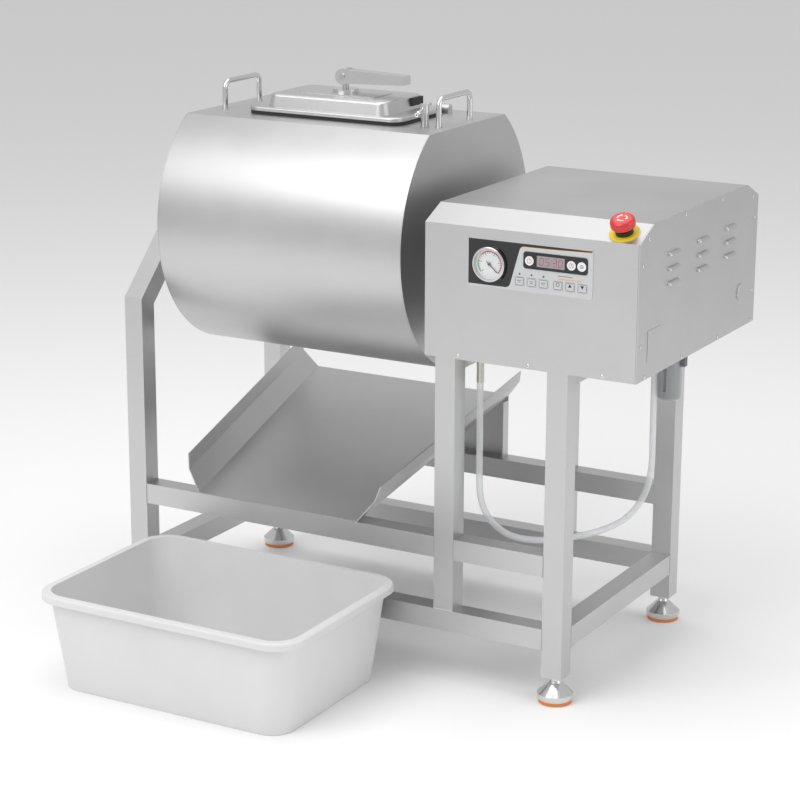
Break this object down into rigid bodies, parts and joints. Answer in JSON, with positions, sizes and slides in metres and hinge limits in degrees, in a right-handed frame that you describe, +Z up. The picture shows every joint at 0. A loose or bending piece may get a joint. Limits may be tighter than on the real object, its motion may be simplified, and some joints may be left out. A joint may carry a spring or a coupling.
{
  "type": "meat vacuum tumbler",
  "caption": "Food processing vacuum tumbler: a turning stainless drum with a clamped hatch lid on a tube stand, beside a drive cabinet with a vacuum gauge, over a chute and a loose tub.",
  "frame": {"origin": "bottom centre of the whole machine's box, on the floor under the levelling feet", "axes": "+Z up; +X along the drum towards the drive cabinet; the controls and the tub face -Y"},
  "size_m": [1.0426, 0.9122, 1.033],
  "materials": {
    "stand_steel": "satin",
    "drum_steel": "satin",
    "cabinet_steel": "fine brushed",
    "tub_steel": "satin",
    "bright_steel": "polished",
    "plain_steel": "turned",
    "cast_grey": "painted",
    "pump_grey": "semi-gloss",
    "pulley_iron": "machined",
    "belt_rubber": "matte",
    "seal_rubber": "matte",
    "pad_rubber": "matte",
    "black_plastic": "matte",
    "panel_film": "satin film",
    "white_plastic": "satin",
    "key_film": "satin",
    "red_plastic": "gloss",
    "yellow_plastic": "satin",
    "gauge_metal": "bright",
    "needle_black": "matte",
    "clear_lens": "clear",
    "clear_bowl": "clear plastic",
    "clear_hose": "clear",
    "fitting_metal": "nickel plated",
    "pipe_metal": "satin",
    "bare_plate": "satin"
  },
  "bodies": {
    "machine": {"left_frame": "stand_steel", "cabinet_posts": "stand_steel", "stand_rails": "stand_steel", "foot_discs": "bright_steel", "foot_pads": "pad_rubber", "cabinet_end_plate": "cabinet_steel", "end_plate_plug": "black_plastic", "blank_plate": "bare_plate", "cabinet_base": "cabinet_steel", "cabinet_shell": "cabinet_steel", "panel_screws": "bright_steel", "control_overlay": "panel_film", "display_module": "black_plastic", "gauge_case": "gauge_metal", "gauge_lens": "clear_lens", "estop_ring": "yellow_plastic", "estop_collar": "black_plastic", "bearing_stand": "stand_steel", "shaft_bearings": "cast_grey", "gear_motor": "pump_grey", "drive_belt": "belt_rubber", "vacuum_union": "plain_steel", "vacuum_pipes": "pipe_metal", "hose_fitting": "fitting_metal", "filter_head": "cast_grey", "filter_bowl": "clear_bowl", "vacuum_pump": "pump_grey", "vacuum_hose": "clear_hose", "discharge_chute": "drum_steel"},
    "drum": {"drum_shell": "drum_steel", "drum_end_plates": "drum_steel", "hatch_collar": "drum_steel", "drum_baffles": "drum_steel", "grab_handles": "bright_steel", "drum_shafts": "plain_steel", "drum_pulley": "pulley_iron", "vent_valve_post": "plain_steel", "hinge_brackets": "drum_steel", "hinge_pin": "plain_steel"},
    "vent_head": {"vent_valve_head": "bright_steel"},
    "lid": {"hatch_lid": "drum_steel", "lid_seal": "seal_rubber", "lid_stop": "seal_rubber", "clamp_disc": "bright_steel"},
    "clamp": {"clamp_stud": "plain_steel"},
    "lever": {"clamp_lever": "bright_steel", "clamp_pin": "plain_steel"},
    "motor_wheel": {"motor_pulley": "pulley_iron"},
    "needle": {"gauge_needle": "needle_black"},
    "power_button": {"power_button": "white_plastic"},
    "timer_button": {"timer_button": "white_plastic"},
    "mode_button": {"mode_button": "white_plastic"},
    "emergency_stop": {"estop_head": "red_plastic"},
    "tub": {"discharge_tub": "tub_steel"},
    "key_1": {"key_1": "key_film"},
    "key_2": {"key_2": "key_film"},
    "key_3": {"key_3": "key_film"},
    "key_4": {"key_4": "key_film"},
    "key_5": {"key_5": "key_film"},
    "key_6": {"key_6": "key_film"}
  },
  "joints": [
    {"name": "drum_spin", "type": "hinge", "parent": "machine", "child": "drum", "pos_m": [-0.18625, 0.18735, 0.752], "axis": [1, 0, 0], "continuous": true},
    {"name": "motor_spin", "type": "hinge", "parent": "machine", "child": "motor_wheel", "pos_m": [0.30625, 0.34335, 0.69], "axis": [1, 0, 0], "continuous": true},
    {"name": "lid_hinge", "type": "hinge", "parent": "drum", "child": "lid", "pos_m": [-0.18625, 0.28635, 0.959], "axis": [1, 0, 0], "range_deg": [-110, 0]},
    {"name": "clamp_turn", "type": "hinge", "parent": "lid", "child": "clamp", "pos_m": [-0.18625, 0.18735, 0.9875], "axis": [0, 0, 1], "range_deg": [-90, 0]},
    {"name": "lever_lift", "type": "hinge", "parent": "clamp", "child": "lever", "pos_m": [-0.18625, 0.18735, 1.0185], "axis": [0, 1, 0], "range_deg": [-90, 0]},
    {"name": "vent_turn", "type": "hinge", "parent": "drum", "child": "vent_head", "pos_m": [0.01325, 0.12335, 0.95], "axis": [0, 0, 1], "range_deg": [-90, 0]},
    {"name": "gauge_reading", "type": "hinge", "parent": "machine", "child": "needle", "pos_m": [0.24455, -0.06865, 0.764], "axis": [0, 1, 0], "range_deg": [-264, 0], "stiffness_Nm_per_rad": 0.00001},
    {"name": "estop_press", "type": "slide", "parent": "machine", "child": "emergency_stop", "axis": [0, 0.4201, -0.9075], "range_m": [0, 0.004]},
    {"name": "tub_pull", "type": "slide", "parent": "machine", "child": "tub", "axis": [0, -1, 0], "range_m": [0, 0.35]},
    {"name": "power_button_press", "type": "slide", "parent": "machine", "child": "power_button", "axis": [0, 1, 0], "range_m": [0, 0.001], "stiffness_N_per_m": 300},
    {"name": "timer_button_press", "type": "slide", "parent": "machine", "child": "timer_button", "axis": [0, 1, 0], "range_m": [0, 0.001], "stiffness_N_per_m": 300},
    {"name": "mode_button_press", "type": "slide", "parent": "machine", "child": "mode_button", "axis": [0, 1, 0], "range_m": [0, 0.001], "stiffness_N_per_m": 300},
    {"name": "key_1_press", "type": "slide", "parent": "machine", "child": "key_1", "axis": [0, 1, 0], "range_m": [0, 0.0006], "stiffness_N_per_m": 300},
    {"name": "key_2_press", "type": "slide", "parent": "machine", "child": "key_2", "axis": [0, 1, 0], "range_m": [0, 0.0006], "stiffness_N_per_m": 300},
    {"name": "key_3_press", "type": "slide", "parent": "machine", "child": "key_3", "axis": [0, 1, 0], "range_m": [0, 0.0006], "stiffness_N_per_m": 300},
    {"name": "key_4_press", "type": "slide", "parent": "machine", "child": "key_4", "axis": [0, 1, 0], "range_m": [0, 0.0006], "stiffness_N_per_m": 300},
    {"name": "key_5_press", "type": "slide", "parent": "machine", "child": "key_5", "axis": [0, 1, 0], "range_m": [0, 0.0006], "stiffness_N_per_m": 300},
    {"name": "key_6_press", "type": "slide", "parent": "machine", "child": "key_6", "axis": [0, 1, 0], "range_m": [0, 0.0006], "stiffness_N_per_m": 300}
  ],
  "couplings": [
    {"joint": "motor_spin", "follows": "drum_spin", "ratio": 2}
  ]
}
